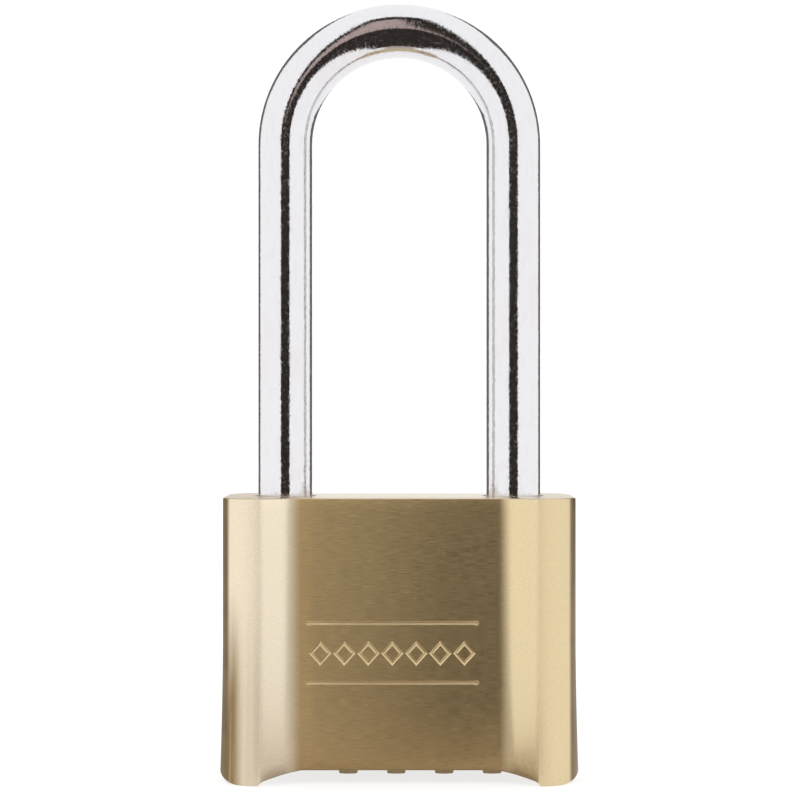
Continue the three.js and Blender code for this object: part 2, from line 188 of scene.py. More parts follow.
class Nodes:
    """A material whose colour, roughness and bump come from noise in object space."""

    def __init__(self, name, base, roughness, metallic=1.0):
        self.material = bpy.data.materials.new(name)
        self.material.use_nodes = True
        self.tree = self.material.node_tree
        self.shader = self.tree.nodes["Principled BSDF"]
        self.set(self.shader, "Base Color", (*base, 1))
        self.set(self.shader, "Roughness", roughness)
        self.set(self.shader, "Metallic", metallic)
        self.place = self.tree.nodes.new("ShaderNodeTexCoord").outputs["Object"]

    def set(self, node, socket, value):
        if isinstance(value, bpy.types.NodeSocket):
            self.tree.links.new(value, node.inputs[socket])
        else:
            node.inputs[socket].default_value = value

    def math(self, operation, a, b=0.0):
        node = self.tree.nodes.new("ShaderNodeMath")
        node.operation = operation
        self.set(node, 0, a)
        self.set(node, 1, b)
        return node.outputs[0]

    def axis(self, name):
        node = self.tree.nodes.new("ShaderNodeSeparateXYZ")
        self.set(node, 0, self.place)
        return node.outputs[name]

    def product(self, *values):
        """All the values multiplied together."""
        total = values[0]
        for value in values[1:]:
            total = self.math("MULTIPLY", total, value)
        return total

    def noise(self, size, stretch=(1, 1, 1), detail=3.0, offset=0.0):
        """Noise from 0 to 1 with spots of `size` metres, drawn out along an axis by its stretch."""
        mapping = self.tree.nodes.new("ShaderNodeMapping")
        self.set(mapping, "Vector", self.place)
        self.set(mapping, "Scale", tuple(1 / (size * s) for s in stretch))
        self.set(mapping, "Location", (offset, offset * 0.7, offset * 1.3))
        node = self.tree.nodes.new("ShaderNodeTexNoise")
        self.set(node, "Vector", mapping.outputs[0])
        self.set(node, "Scale", 1.0)
        self.set(node, "Detail", detail)
        return node.outputs["Fac"]

    def between(self, value, low, high, to_low=0.0, to_high=1.0):
        """Eases from to_low to to_high while the value goes from low to high."""
        node = self.tree.nodes.new("ShaderNodeMapRange")
        node.interpolation_type = "SMOOTHSTEP"
        for i, number in enumerate((value, low, high, to_low, to_high)):
            self.set(node, i, number)
        return node.outputs[0]

    def mix(self, factor, a, b):
        node = self.tree.nodes.new("ShaderNodeMix")
        node.data_type = "RGBA"
        for socket, value in ((0, factor), (6, a), (7, b)):
            if isinstance(value, tuple):
                value = (*value, 1)
            self.set(node, socket, value)
        return node.outputs[2]

    def blend_values(self, factor, a, b):
        node = self.tree.nodes.new("ShaderNodeMix")
        for socket, value in ((0, factor), (2, a), (3, b)):
            self.set(node, socket, value)
        return node.outputs[0]

    def bump(self, height, depth, strength=1.0):
        node = self.tree.nodes.new("ShaderNodeBump")
        self.set(node, "Strength", strength)
        self.set(node, "Distance", depth)
        self.set(node, "Height", height)
        self.set(self.shader, "Normal", node.outputs[0])

    def finish(self, **linked):
        """Sets the shader's named sockets and returns the material."""
        for socket, value in linked.items():
            self.set(self.shader, socket.replace("_", " "), value)
        return self.material


def scaled(colour, factor):
    return tuple(channel * factor for channel in colour)


BRASS = (0.77, 0.63, 0.39)
LIT_PALE_BRASS = (0.92, 0.82, 0.65)  # painted light: the lobes are paler towards the left, where more light falls
BRUSHED_BRASS = (0.715, 0.527, 0.264)
DULL_BRASS = (0.36, 0.27, 0.15)
STAMPED_BRASS = (0.72, 0.58, 0.35)
SIDE_REFLECTION_BRASS = (0.18, 0.125, 0.058)  # painted dark reflection on the sides, near the silhouette
# Painted reflection: the brown streaks low on the left lobe.
STREAK_REFLECTION_BRASS = (0.28, 0.18, 0.07)
PALER_SIDE_REFLECTION_BRASS = (0.55, 0.43, 0.25)  # the paler strip down the middle of each side, where the painted dark reflection is lighter
TOP_BRASS = (0.61, 0.51, 0.36)
TARNISHED_BRASS = (0.52, 0.37, 0.18)  # on the dials and the cartridge
PLATE = (0.765, 0.76, 0.785)
WAVY_PLATE = (0.72, 0.68, 0.70)  # in the plate's faint waves
WARM_PLATE = (0.78, 0.70, 0.68)  # in its cloudy patches
STEEL = (0.55, 0.55, 0.56)
WIRE = (0.36, 0.36, 0.38)
PAINT = (0.012, 0.012, 0.014)
WORN_PAINT = (0.05, 0.048, 0.045)


# Where the block's finishes meet, as (first trace, full strength).
LOBE_BEGINS = (RECESS[0], 15.8 * MM)
SLOPE_BEGINS = (15.2 * MM, 16.4 * MM)
SLOPE_ENDS = (20 * MM, 19 * MM)
LEFT_TURN_BEGINS = (-11.5 * MM, -14 * MM)  # the dull turn from the recess into the left slope
LEFT_TURN_ENDS = (-17 * MM, -15.4 * MM)
SIDE_BEGINS = (24.1 * MM, 24.7 * MM)
SIDE_MIDDLE = (6.6 * MM, 3.5 * MM)  # where the painted dark reflection on each side gives way to its paler middle strip, by depth
TOP_BEGINS = (TOP - 0.15 * MM, TOP - 0.05 * MM)
STAMPED_BELOW = (RECESS[1] - 0.02 * MM, RECESS[1] - 0.06 * MM)
# Where the painted reflection streaks reach, in height and towards the left rim.
STREAK_REFLECTION_HEIGHT = (30 * MM, 11 * MM)
STREAK_REFLECTION_RIM = (-22.0 * MM, -23.9 * MM)
LEFT_LOBE = (-RIDGE_X, -RIDGE_X - 0.1 * MM)
LACQUER = 0.4  # the top keeps a coat of it


def recess_colour(brass, x, sunk, grain, scratches, cloud):
    """Brushed brass, mottled towards the right, with bright metal where it is stamped."""
    mottle = brass.noise(0.9 * MM, (1.6, 1, 1), 4, 7.7)
    colour = brass.mix(brass.between(grain, 0.32, 0.68, 0.34, 0), BRUSHED_BRASS, DULL_BRASS)
    colour = brass.mix(brass.between(scratches, 0.35, 0.6, 0.16, 0), colour, DULL_BRASS)
    spots = brass.product(brass.between(mottle, 0.45, 0.7), brass.between(cloud, 0.4, 0.6))
    spots = brass.product(spots, brass.between(x, 2 * MM, 13 * MM, 0.1, 0.42))
    colour = brass.mix(spots, colour, DULL_BRASS)
    return brass.mix(sunk, colour, STAMPED_BRASS)


def lobe_colour(brass, x, satin):
    """Satin brass, with painted light that makes it paler towards the left."""
    colour = brass.mix(brass.between(x, -16 * MM, 16 * MM), LIT_PALE_BRASS, BRASS)
    return brass.mix(brass.between(satin, 0.3, 0.7, 0.22, 0), colour, DULL_BRASS)


def stain(brass, x, z):
    """How strongly the painted reflection, brown upright streaks low on the left lobe, covers it."""
    streaks = brass.noise(0.6 * MM, (1, 1, 60), 3, 5.2)
    low = brass.between(z, *STREAK_REFLECTION_HEIGHT)
    rim = brass.between(x, *STREAK_REFLECTION_RIM, 0.24, 1.0)
    left = brass.between(x, *LEFT_LOBE)
    return brass.product(low, rim, left, brass.between(streaks, 0.35, 0.6, 0.75, 1.0))


# Painted dark reflection on the sides: darkest towards the front and back, paler down the middle.
def side_colour(brass, depth, cloud):
    colour = brass.mix(brass.between(depth, *SIDE_MIDDLE), SIDE_REFLECTION_BRASS, PALER_SIDE_REFLECTION_BRASS)
    return brass.mix(brass.between(cloud, 0.35, 0.7, 0, 0.08), colour, BRUSHED_BRASS)


def top_colour(brass, grain, cloud):
    colour = brass.mix(brass.between(cloud, 0.35, 0.7, 0, 0.25), TOP_BRASS, BRUSHED_BRASS)
    return brass.mix(brass.between(grain, 0.32, 0.68, 0.2, 0), colour, DULL_BRASS)


def block_brass():
    """Brushed along X in the recess and satin on the lobes, with painted dark reflection at the sides and in
    streaks low on the left.
    """
    brass = Nodes("block_brass", BRASS, 0.4)
    x, z = brass.axis("X"), brass.axis("Z")
    across = brass.math("ABSOLUTE", x)
    depth = brass.math("ABSOLUTE", brass.axis("Y"))
    on_lobe = brass.between(across, *LOBE_BEGINS)
    on_slope = brass.product(brass.between(across, *SLOPE_BEGINS), brass.between(across, *SLOPE_ENDS))
    on_side = brass.between(across, *SIDE_BEGINS)
    on_top = brass.between(z, *TOP_BEGINS)
    sunk = brass.between(depth, *STAMPED_BELOW)
    left_turn = brass.product(brass.between(x, *LEFT_TURN_BEGINS), brass.between(x, *LEFT_TURN_ENDS))

    grain = brass.noise(0.11 * MM, (16, 6, 1), 3)
    scratches = brass.noise(0.07 * MM, (34, 6, 1), 2, 3.1)
    satin = brass.noise(0.15 * MM, (1.2, 1, 1.2), 4, 1.7)
    cloud = brass.noise(4.5 * MM, (1.5, 1, 1), 4, 2.3)

    in_recess = recess_colour(brass, x, sunk, grain, scratches, cloud)
    colour = brass.mix(on_lobe, in_recess, lobe_colour(brass, x, satin))
    colour = brass.mix(stain(brass, x, z), colour, STREAK_REFLECTION_BRASS)
    colour = brass.mix(on_side, colour, side_colour(brass, depth, cloud))
    colour = brass.mix(on_top, colour, top_colour(brass, grain, cloud))

    # The left half is a little rougher, the slopes are smoother, and the turn into the left slope is dull.
    left_half = brass.between(x, -15 * MM, 13 * MM, 0.16, 0.0)
    recess_rough = brass.math("ADD", brass.between(grain, 0.25, 0.75, 0.34, 0.42), left_half)
    recess_rough = brass.blend_values(sunk, recess_rough, 0.3)
    lobe_rough = brass.math("ADD", brass.between(satin, 0.3, 0.7, 0.36, 0.46), left_half)
    lobe_rough = brass.math("SUBTRACT", lobe_rough, brass.product(on_slope, 0.2))
    rough = brass.blend_values(on_lobe, recess_rough, lobe_rough)
    rough = brass.math("ADD", rough, brass.product(left_turn, 0.14))
    height = brass.blend_values(on_lobe, brass.math("ADD", grain, scratches), satin)
    brass.bump(height, 0.008 * MM, 0.8)
    lacquer = brass.product(on_top, LACQUER)
    return brass.finish(Base_Color=colour, Roughness=rough, Coat_Weight=lacquer, Coat_Roughness=0.2)


def turned_brass(name):
    """Machined brass with fine rings round X."""
    brass = Nodes(name, scaled(BRASS, 0.95), 0.3)
    rings = brass.noise(0.07 * MM, (1, 30, 30), 3)
    cloud = brass.noise(2.5 * MM, (1, 1, 1), 3, 4.0)
    colour = brass.mix(brass.between(rings, 0.3, 0.7), scaled(BRASS, 0.8), scaled(BRASS, 1.0))
    colour = brass.mix(brass.between(cloud, 0.4, 0.75, 0, 0.4), colour, TARNISHED_BRASS)
    brass.bump(rings, 0.008 * MM)
    return brass.finish(Base_Color=colour, Roughness=brass.between(cloud, 0.3, 0.7, 0.24, 0.38))


def plated_steel():
    """Bright plate over drawn steel rod: a mirror with faint upright waves and specks."""
    chrome = Nodes("plated_steel", PLATE, 0.06)
    waves = chrome.noise(0.8 * MM, (1, 1, 3), 3)
    pits = chrome.noise(0.3 * MM, (1, 1, 1.3), 3, 2.0)
    cloud = chrome.noise(6 * MM, (1, 1, 2), 3, 4.4)
    colour = chrome.mix(chrome.between(waves, 0.4, 0.75, 0, 0.4), PLATE, WAVY_PLATE)
    colour = chrome.mix(chrome.between(cloud, 0.45, 0.75, 0, 0.35), colour, WARM_PLATE)
    height = chrome.math("ADD", waves, chrome.product(pits, 1.1))
    chrome.bump(height, 0.008 * MM)
    return chrome.finish(Base_Color=colour, Roughness=chrome.between(pits, 0.4, 0.75, 0.04, 0.24))


def machined_steel(name, base, grain_axis):
    """Plain steel with its grain along one axis."""
    steel = Nodes(name, base, 0.35)
    stretch = tuple(25 if axis == grain_axis else 1 for axis in "XYZ")
    grain = steel.noise(0.06 * MM, stretch, 3)
    cloud = steel.noise(1.8 * MM, (1, 1, 1), 3, 1.0)
    colour = steel.mix(steel.between(grain, 0.3, 0.7), scaled(base, 0.8), scaled(base, 1.1))
    colour = steel.mix(steel.between(cloud, 0.45, 0.8, 0, 0.5), colour, scaled(base, 0.6))
    steel.bump(grain, 0.006 * MM)
    return steel.finish(Base_Color=colour, Roughness=steel.between(cloud, 0.3, 0.7, 0.28, 0.45))


def filled_black():
    """Paint in the dials' engraved digits."""
    paint = Nodes("digit_paint", PAINT, 0.45, 0.0)
    grit = paint.noise(0.12 * MM, (1, 1, 1), 3)
    paint.bump(grit, 0.01 * MM)
    colour = paint.mix(grit, PAINT, WORN_PAINT)
    return paint.finish(Base_Color=colour, Roughness=paint.between(grit, 0.3, 0.7, 0.4, 0.6))


def dress(piece, material, body, slot, *nodes):
    """Gives a piece its material and its place in the frame."""
    piece.data.materials.clear()
    piece.data.materials.append(material)
    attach(piece, body)
    if nodes:
        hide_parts(*nodes)
    return piece


# ---------------------------------------------------------------- the block


def lerp(a, b, share):
    """The point a share of the way from a to b."""
    return a[0] + (b[0] - a[0]) * share, a[1] + (b[1] - a[1]) * share


def front_half_outline():
    """The block's plan from left to right along its front, as (x, depth) with depth positive."""
    centre = (SIDE_X - LOBE_RADIUS, LOBE_Y)
    ridge_angle = math.acos((RIDGE_X - centre[0]) / LOBE_RADIUS)

    def outside(angle):
        return centre[0] + LOBE_RADIUS * math.cos(angle), centre[1] + LOBE_RADIUS * math.sin(angle)

    ridge = outside(ridge_angle)
    run, rise = ridge[0] - RECESS[0], ridge[1] - RECESS[1] - FILLET
    slope = math.atan2(rise, run) + math.asin(FILLET / math.hypot(rise, run))
    flat_steps, fillet_steps, slope_steps, lobe_steps = 6, 12, 6, 24
    right = [(step * RECESS[0] / flat_steps, RECESS[1]) for step in range(flat_steps + 1)]
    for step in range(1, fillet_steps + 1):
        angle = slope * step / fillet_steps
        right.append((RECESS[0] + FILLET * math.sin(angle), RECESS[1] + FILLET * (1 - math.cos(angle))))
    right += [lerp(right[-1], ridge, step / slope_steps) for step in range(1, slope_steps + 1)]
    right += [outside(ridge_angle * (1 - step / lobe_steps)) for step in range(1, lobe_steps + 1)]
    return [(-x, y) for x, y in reversed(right[1:])] + right


def foot_height(x):
    """How far the block's underside is above the floor."""
    distance = abs(x)
    ramp_from, ramp_to, foot_from = RECESS[0] + 0.1 * MM, RIDGE_X - 0.1 * MM, RIDGE_X + 0.2 * MM
    if distance <= ramp_from:
        return ARCH_Z
    if distance <= ramp_to:
        share = (distance - ramp_from) / (ramp_to - ramp_from)
        return ARCH_Z + (RAMP_END - ARCH_Z) * ((1 - RAMP_BOW) * share + RAMP_BOW * share * share)
    if distance <= foot_from:
        return RAMP_END * (foot_from - distance) / (foot_from - ramp_to)
    if distance <= FOOT_OUTER:
        return 0.0
    share = min(1, (distance - FOOT_OUTER) / (SIDE_X - FOOT_OUTER))
    return FOOT_ROUND * (1 - math.sqrt(1 - FOOT_ROUNDNESS * share * share))


def flared(x, y, z):
    """The lobes outside the ridges widen a little towards the feet."""
    outside = max(0.0, (abs(x) - RIDGE_X) / (SIDE_X - RIDGE_X))
    if outside == 0:
        return x, y
    push = FLARE * max(0.0, 1 - z / FLARE_HEIGHT) ** 1.5
    settle = min(1.0, outside / FLARE_SETTLED) * min(1.0, abs(y) / (2 * LOBE_Y))
    return x + math.copysign(push * outside, x), y + math.copysign(push * settle, y)


def block_shell():
    """The block without its holes: its plan in many levels, with four at each end that round the edge."""
    half = front_half_outline()
    ring = [(x, -y) for x, y in half] + [(x, y) for x, y in reversed(half)]
    count = len(ring)

    def inset(i, distance):
        before, here, after = (Vector(ring[(i + k) % count]) for k in (-1, 0, 1))
        way = ((here - before).normalized() + (after - here).normalized()).normalized()
        return here - Vector((way.y, -way.x)) * distance

    # Each level is (how far the plan is inset, share of the height, lift from that height).
    upright_steps = 24
    corner = [(1 - math.sin(a), 1 - math.cos(a)) for a in (0, math.pi / 6, math.pi / 3, math.pi / 2)]
    levels = [(EDGE * side, 0.0, EDGE * up) for side, up in corner]
    levels += [(0.0, step / upright_steps, 0.0) for step in range(1, upright_steps)]
    levels += [(EDGE * side, 1.0, -EDGE * up) for side, up in reversed(corner)]
    vertices = []
    for distance, share, lift in levels:
        for i in range(count):
            point = inset(i, distance)
            bottom = foot_height(ring[i][0])
            span_low, span_high = bottom + EDGE, TOP - EDGE
            if share == 0:
                z = bottom + lift
            elif share == 1:
                z = TOP + lift
            else:
                z = span_low + (span_high - span_low) * share
            vertices.append((*flared(point.x, point.y, z), z))
    faces = []
    for level in range(len(levels) - 1):
        lower, upper = level * count, (level + 1) * count
        for i in range(count):
            j = (i + 1) % count
            faces.append((lower + i, lower + j, upper + j, upper + i))
    last = (len(levels) - 1) * count
    for i in range(len(half) - 1):
        opposite = count - 1 - i
        faces.append((i, opposite, opposite - 1, i + 1))
        faces.append((last + i, last + i + 1, last + opposite - 1, last + opposite))
    return mesh_from("brass_block", vertices, faces)


BORE_RADIUS = ROD + 0.28 * MM
BORE_BEVEL = 0.35 * MM
HEEL_BORE_FLOOR = 4.5 * MM
TOE_BORE_FLOOR = 28 * MM
SCREW_HOLE = 1.4 * MM
SCREW_HOLE_Z = (21 * MM, 29 * MM)
PIN_GAP = 0.06 * MM  # between a pin and its hole
PIN_SPARE = 0.3 * MM  # how much deeper than its pin a hole is
ROUND_HOLE_SIDES = 48

# The lockwork's pockets, as their spans along X, half their depths and their spans in height.
POCKETS = {
    "pocket": ((-11.5, 21.3), 7.7, (-1, 15.9)),
    "tab_pocket": ((14.3, 21.3), 3.3, (7, 21.9)),
    "comb_slot": ((-9.9, 23.7), 1.8, (7.7, 19.4)),
    "lever_slot": ((3, 13.2), 1.8, (7.8, 38.3)),
}


def upright(x):
    return Matrix.Translation((x, 0, 0))


def block_cutters():
    """The block's two bores with broken mouths, the lockwork's pockets and three round holes."""
    bevelled = BORE_RADIUS + BORE_BEVEL
    mouth = [(BORE_RADIUS, TOP - BORE_BEVEL), (bevelled, TOP), (bevelled, TOP + MM)]
    cutters = [
        turned("heel_bore", [(BORE_RADIUS, HEEL_BORE_FLOOR), *mouth], upright(-LEG_X)),
        turned("toe_bore", [(BORE_RADIUS, TOE_BORE_FLOOR), *mouth], upright(LEG_X)),
    ]
    for name, (along, half_depth, height) in POCKETS.items():
        spans = (along, (-half_depth, half_depth), height)
        cutters.append(box_piece(name, *[(low * MM, high * MM) for low, high in spans]))
    screw_hole = [(SCREW_HOLE, z) for z in SCREW_HOLE_Z]
    cutters.append(turned("screw_hole", screw_hole, upright(LEG_X), ROUND_HOLE_SIDES))
    for pin in ("lever_pin", "heel_pin"):
        low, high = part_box(pin)
        centre = (low + high) / 2
        radius = (high.x - low.x) / 2 + PIN_GAP
        along_y = Matrix.Translation((centre.x, 0, centre.z)) @ Matrix.Rotation(-math.pi / 2, 4, "X")
        depth = [(radius, low.y - PIN_SPARE), (radius, RECESS[1] + MM)]
        cutters.append(turned(pin + "_hole", depth, along_y, ROUND_HOLE_SIDES))
    return cutters


# What is stamped into the recess.
RULES_Z = (22.93 * MM, 14.42 * MM)
RULE_X = (-13.5 * MM, 11.5 * MM)
RULE_RADIUS = 0.46 * MM
RULE_END = 0.3 * MM  # length of each step in a rule's ends
RULE_SWELL = 1.2  # the ends are a little wider
RULE_TIP = 0.02 * MM
RULE_OFFSET = 0.1 * MM  # how far a rule's cutter lies in front of the recess
RULE_FLATNESS = 0.6
RULE_SIDES = 4  # so that a rule is a V-shaped groove
BAND_Z = 18.6 * MM
LOZENGES = 7
LOZENGE_HALF_HEIGHT = 1.85 * MM
LOZENGE_GAP = 0.1 * MM
GROOVE_DEPTH = 0.17 * MM  # of the lozenges' outlines


def stamped_marks():
    """Two stamped rules with a plain row of outlined lozenges between them, pressed into the recess."""
    low, high = RULE_X
    marks = []
    for z in RULES_Z:
        along_x = Matrix.Translation((0, -RECESS[1] - RULE_OFFSET, z)) @ Matrix.Rotation(math.pi / 2, 4, "Y")
        along_x = along_x @ Matrix.Diagonal((1, RULE_FLATNESS, 1, 1))
        swollen = RULE_RADIUS * RULE_SWELL
        end = list(enumerate((RULE_TIP, swollen, swollen, RULE_RADIUS)))
        profile = [(radius, low + step * RULE_END) for step, radius in end]
        profile += [(radius, high - step * RULE_END) for step, radius in reversed(end)]
        marks.append(turned("rule", profile, along_x, RULE_SIDES))
    margin = 0.5 * MM
    pitch = (high - low - 2 * margin) / LOZENGES
    for i in range(LOZENGES):
        x = low + margin + (i + 0.5) * pitch
        marks.append(lozenge(x, BAND_Z, (pitch - LOZENGE_GAP) / 2, LOZENGE_HALF_HEIGHT))
    return marks


def lozenge(x, z, half_width, half_height):
    """A V-shaped groove round a lozenge, pressed into the front."""
    front = -RECESS[1]
    outer, middle, inner = 1.0, 0.78, 0.56  # as shares of the lozenge's size
    clear = -0.02 * MM
    section = [(outer, -MM), (outer, clear), (middle, GROOVE_DEPTH), (inner, clear), (inner, -MM)]
    rings = []
    for across, up in ((1, 0), (0, 1), (-1, 0), (0, -1)):
        side, rise = across * half_width, up * half_height
        rings.append([(x + side * size, front + y, z + rise * size) for size, y in section])
    return closed_loft("lozenge", rings)


def make_block():
    block = block_shell()
    cut(block, block_cutters() + stamped_marks())
    shade(block, degrees=22)
    return dress(block, block_brass(), "case", "brass", "body")


# ---------------------------------------------------------------- the shackle

TOE_TIP = 30.2 * MM
TIP_BEVEL = 0.7 * MM
TIP_ROUND = 0.15 * MM
NECK_RADIUS = 2.7 * MM
NECK_Z = (15.75 * MM, 29.8 * MM)
NECK_ROUND = 0.25 * MM
LEG_STEPS_FROM = 45 * MM  # the straight legs are divided from here to the bend
LEG_STEPS = 9
BEND_STEPS = 96
ROD_SIDES = 80
NOTCH_DEPTH = 1.5 * MM
NOTCH_Z = (34.65 * MM, 37.4 * MM)
FLANK_END = 28.65 * MM  # where the notch's sloping flank has left the rod


def rod_ring(centre, out, radius):
    """A ring of the rod. Out is the direction of its first point, away from the space inside the shackle."""
    across = Vector((0, 1, 0))
    return [centre + (out * math.cos(a) + across * math.sin(a)) * radius for a in full_turn(ROD_SIDES)]


def make_shackle():
    """One round rod over the bend, with the heel leg's neck and the toe leg's notch."""
    tip = [(0, ROD - TIP_BEVEL), (TIP_ROUND, ROD - TIP_BEVEL * 0.62), (TIP_BEVEL, ROD)]
    neck_low, neck_high = NECK_Z
    heel = [(HEEL_TIP + rise, radius) for rise, radius in tip]
    heel += [(neck_low - NECK_ROUND, ROD), (neck_low, ROD - NECK_ROUND), (neck_low, NECK_RADIUS)]
    heel += [(neck_high, NECK_RADIUS), (neck_high, ROD - NECK_ROUND), (neck_high + NECK_ROUND, ROD)]
    straight = BEND_Z - LEG_STEPS_FROM
    heel += [(LEG_STEPS_FROM + straight * step / LEG_STEPS, ROD) for step in range(LEG_STEPS)]
    toe = [(BEND_Z - straight * step / LEG_STEPS, ROD) for step in range(1, LEG_STEPS + 1)]
    toe += [(TOE_TIP + rise, radius) for rise, radius in reversed(tip)]

    rings = [rod_ring(Vector((-LEG_X, 0, z)), Vector((-1, 0, 0)), radius) for z, radius in heel]
    for step in range(BEND_STEPS + 1):
        angle = math.pi * (1 - step / BEND_STEPS)
        out = Vector((math.cos(angle), 0, math.sin(angle)))
        rings.append(rod_ring(Vector((0, 0, BEND_Z)) + out * LEG_X, out, ROD))
    rings += [rod_ring(Vector((LEG_X, 0, z)), Vector((1, 0, 0)), radius) for z, radius in toe]
    shackle = loft("shackle_rod", rings)
    cut(shackle, [notch_cutter()])
    shade(shackle, degrees=30)
    return dress(shackle, plated_steel(), "shackle", "chrome", "shackle")


def notch_cutter():
    """The toe leg's notch for the lever's nose, with its sloping lower flank."""
    floor = LEG_X - ROD + NOTCH_DEPTH
    clear = floor - 2.5 * MM
    bottom, top = NOTCH_Z
    outline = [(floor, top), (floor, bottom), (clear, FLANK_END), (clear, top)]
    rings = [[Vector((x, y, z)) for x, z in outline] for y in (-5 * MM, 5 * MM)]
    return loft("notch", rings)


# ---------------------------------------------------------------- the dials

DIGITS = 10
DIAL_RADIUS = 7.3 * MM
DIAL_SIDES = 360
DIAL_EDGE = 0.25 * MM
LAND_HALF = math.radians(14)  # half of the flat land that each digit stands on
GROOVE = 0.4 * MM  # depth of the finger grooves between the lands
DIAL_BORE = 3.5 * MM
DIGIT_HEIGHT = 2.3 * MM
DIGIT_SHARE = 0.73  # a digit's height as a share of the type size
DIGIT_BANDS = 12  # cuts across each digit, so that it follows the rim
PAINT_ABOVE = 0.02 * MM  # how far the digits' paint stands out of the rim
PAINT_BELOW = 0.05 * MM  # and how far it reaches in


def dial_radius(angle):
    """The rim's radius at an angle from a land's middle: flat lands, round finger grooves between."""
    step = 2 * math.pi / DIGITS
    off = abs((angle + step / 2) % step - step / 2)
    if off <= LAND_HALF:
        return DIAL_RADIUS
    share = (off - LAND_HALF) / (step / 2 - LAND_HALF)
    return DIAL_RADIUS - GROOVE * math.sin(share * math.pi / 2)


def dial_ring(x, radius_at):
    """A ring round the spindle at x. radius_at gives its radius at each angle from straight down."""
    ring = []
    for angle in full_turn(DIAL_SIDES):
        radius = radius_at(angle)
        ring.append(Vector((x, radius * math.sin(angle), AXIS_Z - radius * math.cos(angle))))
    return ring


def make_dial(index, brass, paint):
    """A dial with chamfered rims, and its ten filled digits."""
    x = DIAL_X[index]

    def bore(angle):
        return DIAL_BORE

    def rim(drop):
        return lambda angle: dial_radius(angle) - drop

    shares = ((0, 1), (0.3, 0.3), (1, 0))
    chamfer = [(DIAL_HALF - DIAL_EDGE * inward, DIAL_EDGE * drop) for inward, drop in shares]
    rings = [dial_ring(x - DIAL_HALF, bore)]
    rings += [dial_ring(x - along, rim(drop)) for along, drop in chamfer]
    rings += [dial_ring(x + along, rim(drop)) for along, drop in reversed(chamfer)]
    rings.append(dial_ring(x + DIAL_HALF, bore))
    dial = closed_loft(f"number_dial_{index + 1}", rings)
    shade(dial, degrees=30)
    body = f"wheel_{index + 1}"
    dress(dial, brass, body, "dial_brass", f"dial_{index + 1}")
    dress(make_digits(index), paint, body, "dial_brass")


def digit_mesh(character):
    """A digit's outline as a flat mesh about its own middle."""
    curve = bpy.data.curves.new("digit", "FONT")
    curve.body = character
    curve.align_x = "CENTER"
    curve.size = DIGIT_HEIGHT / DIGIT_SHARE
    curve.resolution_u = 4
    holder = bpy.data.objects.new("digit", curve)
    bpy.context.scene.collection.objects.link(holder)
    bpy.context.view_layer.update()
    mesh = bpy.data.meshes.new_from_object(holder.evaluated_get(bpy.context.evaluated_depsgraph_get()))
    bpy.data.objects.remove(holder)
    return mesh


def bend_digit(digit, x, middle):
    """Cuts a flat digit into bands, thickens it and lays it round the rim, its middle at the given angle."""
    heights = [v.co.y for v in digit.verts]
    low, high = min(heights), max(heights)
    centre = (low + high) / 2
    for step in range(1, DIGIT_BANDS):
        everything = digit.verts[:] + digit.edges[:] + digit.faces[:]
        height = low + (high - low) * step / DIGIT_BANDS
        bmesh.ops.bisect_plane(digit, geom=everything, plane_co=(0, height, 0), plane_no=(0, 1, 0))
    solid = bmesh.ops.extrude_face_region(digit, geom=digit.faces[:])
    raised = {v for v in solid["geom"] if isinstance(v, bmesh.types.BMVert)}
    for v in digit.verts:
        angle = middle - (v.co.y - centre) / DIAL_RADIUS
        radius = DIAL_RADIUS + (PAINT_ABOVE if v in raised else -PAINT_BELOW)
        v.co = Vector((x + v.co.x, radius * math.sin(angle), AXIS_Z - radius * math.cos(angle)))


def make_digits(index):
    """The ten filled digits of a dial, laid round its rim as one thin skin."""
    all_digits = bmesh.new()
    for number in range(DIGITS):
        mesh = digit_mesh(str(number))
        digit = bmesh.new()
        digit.from_mesh(mesh)
        bend_digit(digit, DIAL_X[index], 2 * math.pi * number / DIGITS)
        digit.to_mesh(mesh)
        digit.free()
        all_digits.from_mesh(mesh)
        bpy.data.meshes.remove(mesh)
    bmesh.ops.recalc_face_normals(all_digits, faces=all_digits.faces)
    mesh = bpy.data.meshes.new("digits")
    all_digits.to_mesh(mesh)
    all_digits.free()
    return add_object(f"digits_{index + 1}", mesh)


# ---------------------------------------------------------------- the lockwork

BROKEN_EDGE = 0.12 * MM


def refined(node):
    """A copy of a piece of the frame, with its edges broken."""
    source = frame["nodes"][node]
    piece = add_object(node + "_fine", source.data.copy())
    joined = bmesh.new()
    joined.from_mesh(piece.data)
    bmesh.ops.remove_doubles(joined, verts=joined.verts, dist=1e-6)
    bmesh.ops.dissolve_limit(joined, angle_limit=math.radians(1), verts=joined.verts, edges=joined.edges)
    joined.to_mesh(piece.data)
    joined.free()
    bevel = piece.modifiers.new("edges", "BEVEL")
    bevel.width = BROKEN_EDGE
    bevel.segments = 2
    bevel.limit_method = "ANGLE"
    bevel.angle_limit = math.radians(40)
    apply_modifiers(piece)
    shade(piece, degrees=32)
    return piece


def make_lockwork():
    """Every piece inside the block, each in the body that the record gives it, with the look of its material
    slot.
    """
    looks = {
        "steel": machined_steel("machined_steel", STEEL, "X"),
        "spring_steel": machined_steel("drawn_wire", WIRE, "Z"),
        "brass": turned_brass("cartridge_brass"),
    }
    slots = {entry["node"]: entry["material_slot"] for entry in frame["record"]["subparts"]}
    bodies = frame["record"]["behaviour"]["bodies"]
    body_of = {node: body for body, nodes in bodies.items() for node in nodes}
    for node, slot in slots.items():
        if node in ("body", "shackle") or node.startswith("dial_"):
            continue
        dress(refined(node), looks[slot], body_of[node], slot, node)


# ---------------------------------------------------------------- stage, light and camera

